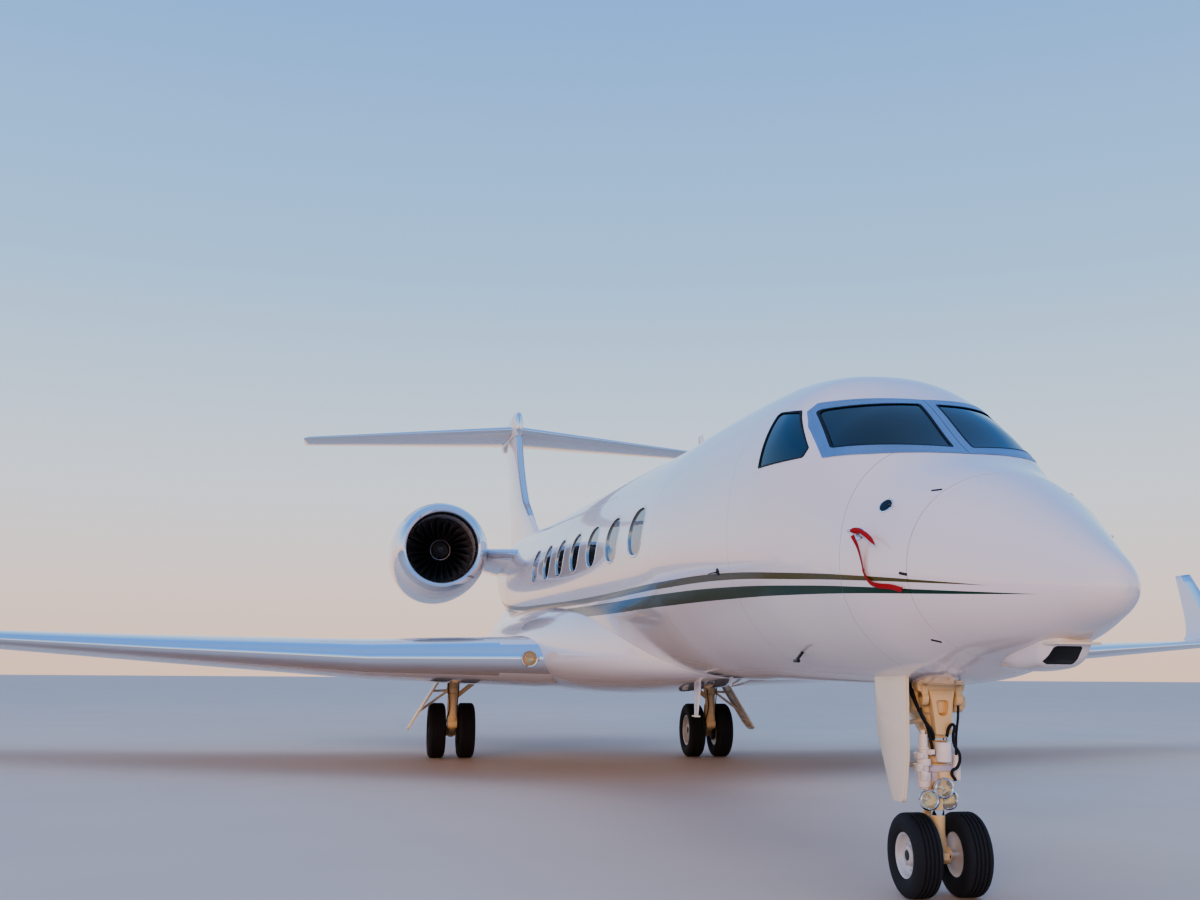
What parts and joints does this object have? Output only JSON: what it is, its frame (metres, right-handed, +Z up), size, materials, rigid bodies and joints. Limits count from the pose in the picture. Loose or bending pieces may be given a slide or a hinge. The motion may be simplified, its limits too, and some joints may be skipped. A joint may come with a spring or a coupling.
{
  "type": "business jet",
  "caption": "Long-cabin business jet parked on its gear, with swept wings and winglets, a T-tail, rear engines, oval windows and an airstair door.",
  "frame": {"origin": "on the ground, on the plane of symmetry, under the middle of the overall length", "axes": "+Z up, nose towards -Y, the aircraft's left wing towards +X"},
  "size_m": [28.5008, 29.39, 7.87],
  "materials": {
    "gloss_white": "gloss pearl white paint",
    "bare_metal": "polished bare metal",
    "frame_metal": "satin, riveted",
    "glazing": "dark coated glass",
    "tyre_rubber": "matt, grooved tread",
    "wheel_metal": "satin",
    "gear_paint": "satin cream paint",
    "dark_metal": "satin dark grey",
    "seat_leather": "smooth",
    "carpet": "short pile",
    "blade_metal": "satin titanium"
  },
  "bodies": {
    "airframe": {"radome": "gloss_white", "windshield_frame": "frame_metal", "cockpit_section": "gloss_white", "windshield_right": "glazing", "windshield_left": "glazing", "side_window_right": "glazing", "side_window_left": "glazing", "chin_sensor": "gloss_white", "cabin_section": "gloss_white", "cabin_windows_right": "glazing", "cabin_windows_left": "glazing", "cabin_floor": "carpet", "cockpit_console": "dark_metal", "pilot_seat_right": "seat_leather", "pilot_seat_left": "seat_leather", "aft_fuselage": "gloss_white", "belly_fairing": "gloss_white", "fin": "gloss_white", "tailplane": "gloss_white", "nose_leg": "gear_paint", "nose_gear_door": "gloss_white", "wing_right": "gloss_white", "inlet_lip_right": "bare_metal", "nacelle_right": "gloss_white", "engine_core_right": "dark_metal", "pylon_right": "gloss_white", "main_leg_right": "gear_paint", "wing_left": "gloss_white", "inlet_lip_left": "bare_metal", "nacelle_left": "gloss_white", "engine_core_left": "dark_metal", "pylon_left": "gloss_white", "main_leg_left": "gear_paint"},
    "nose_steering": {"nose_steering": "gear_paint"},
    "nose_wheels": {"nose_wheels": "wheel_metal", "nose_tyre_right": "tyre_rubber", "nose_tyre_left": "tyre_rubber"},
    "airstair_door": {"airstair_door": "gloss_white"},
    "rudder": {"rudder": "gloss_white"},
    "main_right_wheels": {"main_right_wheels": "wheel_metal", "main_right_tyre_right": "tyre_rubber", "main_right_tyre_left": "tyre_rubber"},
    "fan_right": {"fan_right": "blade_metal"},
    "elevator_right": {"elevator_right": "gloss_white"},
    "aileron_right": {"aileron_right": "gloss_white"},
    "flap_right": {"flap_right": "gloss_white"},
    "main_left_wheels": {"main_left_wheels": "wheel_metal", "main_left_tyre_right": "tyre_rubber", "main_left_tyre_left": "tyre_rubber"},
    "fan_left": {"fan_left": "blade_metal"},
    "elevator_left": {"elevator_left": "gloss_white"},
    "aileron_left": {"aileron_left": "gloss_white"},
    "flap_left": {"flap_left": "gloss_white"}
  },
  "joints": [
    {"name": "nose_steer", "type": "hinge", "parent": "airframe", "child": "nose_steering", "pos_m": [0, -12.445, 0.5], "axis": [0, 0, 1], "range_deg": [-80, 80]},
    {"name": "nose_wheel_spin", "type": "hinge", "parent": "nose_steering", "child": "nose_wheels", "pos_m": [0, -12.445, 0.2665], "axis": [1, 0, 0], "continuous": true},
    {"name": "airstair_hinge", "type": "hinge", "parent": "airframe", "child": "airstair_door", "pos_m": [0.845, -10.34, 1.69], "axis": [0, 1, 0], "range_deg": [0, 130]},
    {"name": "rudder_hinge", "type": "hinge", "parent": "airframe", "child": "rudder", "pos_m": [0, 11.265, 4.93], "axis": [0, 0.5538, 0.8327], "range_deg": [-22, 22]},
    {"name": "main_right_wheel_spin", "type": "hinge", "parent": "airframe", "child": "main_right_wheels", "pos_m": [-2.185, 1.275, 0.4445], "axis": [1, 0, 0], "continuous": true},
    {"name": "fan_right_spin", "type": "hinge", "parent": "airframe", "child": "fan_right", "pos_m": [-2.32, 3.425, 3.615], "axis": [0, 1, 0], "continuous": true},
    {"name": "elevator_right_hinge", "type": "hinge", "parent": "airframe", "child": "elevator_right", "pos_m": [-0.42, 12.985, 7.42], "axis": [0.9646, -0.2638, 0], "range_deg": [-13, 24]},
    {"name": "aileron_right_hinge", "type": "hinge", "parent": "airframe", "child": "aileron_right", "pos_m": [-9.05, 2.845, 1.79918], "axis": [0.9651, -0.2565, -0.0528], "range_deg": [-15, 15]},
    {"name": "flap_right_hinge", "type": "hinge", "parent": "airframe", "child": "flap_right", "pos_m": [-1.9, 1.615, 1.4351], "axis": [-0.9847, 0.167, 0.05], "range_deg": [0, 39]},
    {"name": "main_left_wheel_spin", "type": "hinge", "parent": "airframe", "child": "main_left_wheels", "pos_m": [2.185, 1.275, 0.4445], "axis": [1, 0, 0], "continuous": true},
    {"name": "fan_left_spin", "type": "hinge", "parent": "airframe", "child": "fan_left", "pos_m": [2.32, 3.425, 3.615], "axis": [0, 1, 0], "continuous": true},
    {"name": "elevator_left_hinge", "type": "hinge", "parent": "airframe", "child": "elevator_left", "pos_m": [0.42, 12.985, 7.42], "axis": [0.9646, 0.2638, 0], "range_deg": [-13, 24]},
    {"name": "aileron_left_hinge", "type": "hinge", "parent": "airframe", "child": "aileron_left", "pos_m": [9.05, 2.845, 1.79918], "axis": [0.9651, 0.2565, 0.0528], "range_deg": [-15, 15]},
    {"name": "flap_left_hinge", "type": "hinge", "parent": "airframe", "child": "flap_left", "pos_m": [1.9, 1.615, 1.4351], "axis": [-0.9847, -0.167, -0.05], "range_deg": [0, 39]}
  ],
  "couplings": [
    {"joint": "elevator_left_hinge", "follows": "elevator_right_hinge", "ratio": 1},
    {"joint": "aileron_left_hinge", "follows": "aileron_right_hinge", "ratio": -1},
    {"joint": "flap_left_hinge", "follows": "flap_right_hinge", "ratio": 1}
  ]
}
